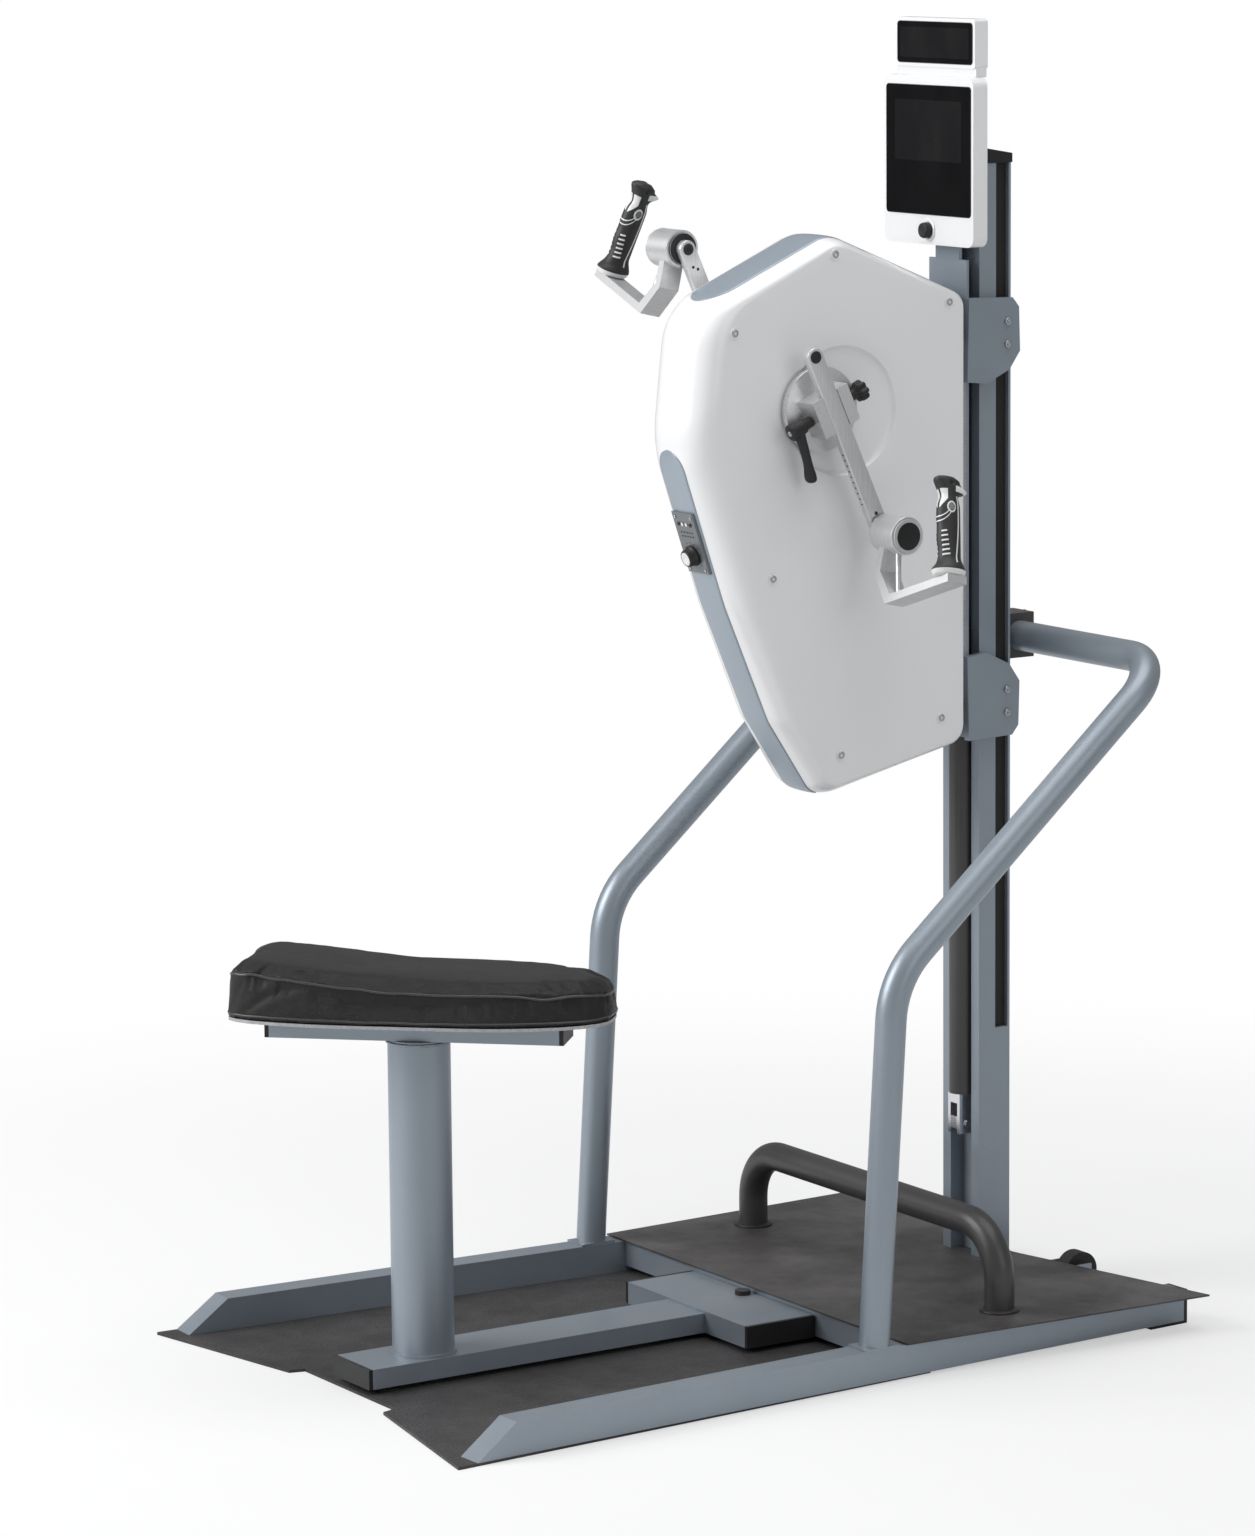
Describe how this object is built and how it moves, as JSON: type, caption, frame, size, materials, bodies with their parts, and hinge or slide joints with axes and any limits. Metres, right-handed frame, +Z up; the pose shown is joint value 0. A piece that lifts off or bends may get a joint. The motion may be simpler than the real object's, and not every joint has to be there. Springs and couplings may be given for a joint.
{
  "type": "arm crank ergometer",
  "caption": "Upright arm crank ergometer: cranked handles on a housing that slides on a column, swivel seat on a post, handrails, footrest and display.",
  "frame": {"origin": "centre of the bounding box in plan, on the floor", "axes": "+Z up, +Y from the seat towards the column, +X to the seated rider's right"},
  "size_m": [0.822, 1.265, 1.812],
  "materials": {
    "mat_rubber": "matte",
    "platform_rubber": "matte",
    "frame_paint": "satin",
    "dark_paint": "satin",
    "black_plastic": "satin",
    "foot_rubber": "matte",
    "strip_plastic": "matte",
    "wheel_rubber": "matte",
    "chrome_steel": "polished",
    "vinyl": "satin",
    "white_shell": "gloss",
    "grey_trim": "satin",
    "panel_grey": "satin",
    "black_glass": "gloss",
    "steel": "brushed",
    "iron": "satin",
    "belt_rubber": "matte",
    "aluminium": "brushed",
    "grip_rubber": "matte"
  },
  "bodies": {
    "base": {"floor_mat": "mat_rubber", "base_rails": "frame_paint", "rail_end_caps": "black_plastic", "cross_members": "frame_paint", "platform_plate": "platform_rubber", "footrest_tube": "dark_paint", "column_profile": "frame_paint", "column_cap": "black_plastic", "slot_strips": "strip_plastic", "handrail_tube": "frame_paint", "handrail_flanges": "frame_paint", "handrail_clamp": "dark_paint", "lift_barrel": "dark_paint", "lift_clevis": "chrome_steel", "wheel_brackets": "frame_paint"},
    "wheel_right": {"wheel_right": "wheel_rubber"},
    "wheel_left": {"wheel_left": "wheel_rubber"},
    "seat_frame": {"seat_beam": "frame_paint", "seat_crossbar": "frame_paint", "seat_frame_caps": "black_plastic", "seat_frame_feet": "foot_rubber", "seat_post": "frame_paint"},
    "frame_knob": {"frame_knob": "black_plastic"},
    "seat": {"seat_tube": "frame_paint", "seat_tube_caps": "black_plastic", "seat_plate": "frame_paint", "seat_cushion": "vinyl"},
    "carriage": {"housing_right": "white_shell", "housing_left": "white_shell", "housing_trims": "grey_trim", "control_panel": "panel_grey", "carriage_plate": "frame_paint", "carriage_brackets": "frame_paint", "guide_shoes": "black_plastic", "housing_screws": "steel", "chassis_plates": "steel", "shaft_bearings": "steel", "magnet_brake": "iron", "drive_belt": "belt_rubber", "lift_rod": "chrome_steel", "display_mount": "frame_paint"},
    "control_knob": {"control_knob": "black_plastic"},
    "cranks": {"crank_spindle": "steel", "drive_pulley": "aluminium", "crank_clamps": "aluminium"},
    "flywheel": {"flywheel": "steel"},
    "bar_right": {"crank_bar_right": "aluminium"},
    "bar_left": {"crank_bar_left": "aluminium"},
    "clamp_lever_right": {"clamp_lever_right": "black_plastic"},
    "clamp_lever_left": {"clamp_lever_left": "black_plastic"},
    "star_knob_right": {"star_knob_right": "black_plastic"},
    "star_knob_left": {"star_knob_left": "black_plastic"},
    "handle_right": {"handle_right": "aluminium"},
    "handle_left": {"handle_left": "aluminium"},
    "grip_right": {"grip_right": "grip_rubber"},
    "grip_left": {"grip_left": "grip_rubber"},
    "display": {"display_case": "white_shell", "top_case": "white_shell", "display_glass": "black_glass"},
    "display_dial": {"display_dial": "black_plastic"}
  },
  "joints": [
    {"name": "wheel_right_spin", "type": "hinge", "parent": "base", "child": "wheel_right", "pos_m": [0.131, 0.6035, 0.036], "axis": [1, 0, 0], "continuous": true},
    {"name": "wheel_left_spin", "type": "hinge", "parent": "base", "child": "wheel_left", "pos_m": [-0.131, 0.6035, 0.036], "axis": [1, 0, 0], "continuous": true},
    {"name": "seat_frame_slide", "type": "slide", "parent": "base", "child": "seat_frame", "axis": [0, -1, 0], "range_m": [0, 0.06]},
    {"name": "frame_knob_turn", "type": "hinge", "parent": "seat_frame", "child": "frame_knob", "pos_m": [0, 0.1175, 0.042], "axis": [0, 0, 1], "range_deg": [0, 180]},
    {"name": "seat_swivel", "type": "hinge", "parent": "seat_frame", "child": "seat", "pos_m": [0, -0.4025, 0.473], "axis": [0, 0, 1], "continuous": true},
    {"name": "carriage_lift", "type": "slide", "parent": "base", "child": "carriage", "axis": [0, 0, 1], "range_m": [-0.39, 0.17]},
    {"name": "control_knob_turn", "type": "hinge", "parent": "carriage", "child": "control_knob", "pos_m": [0, 0.04816, 1.093], "axis": [0, -0.947, -0.3212], "range_deg": [-150, 150]},
    {"name": "crank_spin", "type": "hinge", "parent": "carriage", "child": "cranks", "pos_m": [0, 0.2025, 1.289], "axis": [1, 0, 0], "continuous": true},
    {"name": "flywheel_spin", "type": "hinge", "parent": "carriage", "child": "flywheel", "pos_m": [0, 0.3065, 0.985], "axis": [1, 0, 0], "continuous": true},
    {"name": "bar_right_slide", "type": "slide", "parent": "cranks", "child": "bar_right", "axis": [0, 0.4115, -0.9114], "range_m": [-0.04, 0.05]},
    {"name": "bar_left_slide", "type": "slide", "parent": "cranks", "child": "bar_left", "axis": [0, -0.4115, 0.9114], "range_m": [-0.08, 0.01]},
    {"name": "clamp_lever_right_turn", "type": "hinge", "parent": "cranks", "child": "clamp_lever_right", "pos_m": [0.097, 0.2025, 1.289], "axis": [0, 0.9114, 0.4115], "range_deg": [-90, 0]},
    {"name": "star_knob_right_turn", "type": "hinge", "parent": "cranks", "child": "star_knob_right", "pos_m": [0.097, 0.2025, 1.289], "axis": [0, 0.9114, 0.4115], "continuous": true},
    {"name": "clamp_lever_left_turn", "type": "hinge", "parent": "cranks", "child": "clamp_lever_left", "pos_m": [-0.097, 0.2025, 1.289], "axis": [0, 0.9114, 0.4115], "range_deg": [0, 90]},
    {"name": "star_knob_left_turn", "type": "hinge", "parent": "cranks", "child": "star_knob_left", "pos_m": [-0.097, 0.2025, 1.289], "axis": [0, 0.9114, 0.4115], "continuous": true},
    {"name": "handle_right_swivel", "type": "hinge", "parent": "bar_right", "child": "handle_right", "pos_m": [0.14, 0.27986, 1.11766], "axis": [1, 0, 0], "continuous": true},
    {"name": "grip_right_turn", "type": "hinge", "parent": "handle_right", "child": "grip_right", "pos_m": [0.28503, 0.26957, 1.07306], "axis": [-0.3206, 0.2131, 0.9229], "continuous": true},
    {"name": "handle_left_swivel", "type": "hinge", "parent": "bar_left", "child": "handle_left", "pos_m": [-0.14, 0.10662, 1.50136], "axis": [1, 0, 0], "continuous": true},
    {"name": "grip_left_turn", "type": "hinge", "parent": "handle_left", "child": "grip_left", "pos_m": [-0.28503, 0.09632, 1.45676], "axis": [0.3206, 0.2131, 0.9229], "continuous": true},
    {"name": "display_tilt", "type": "hinge", "parent": "carriage", "child": "display", "pos_m": [0, 0.4665, 1.62], "axis": [1, 0, 0], "range_deg": [-6, 3]},
    {"name": "display_dial_turn", "type": "hinge", "parent": "display", "child": "display_dial", "pos_m": [0, 0.4385, 1.519], "axis": [0, -1, 0], "continuous": true}
  ],
  "couplings": [
    {"joint": "flywheel_spin", "follows": "crank_spin", "ratio": 4.4}
  ]
}
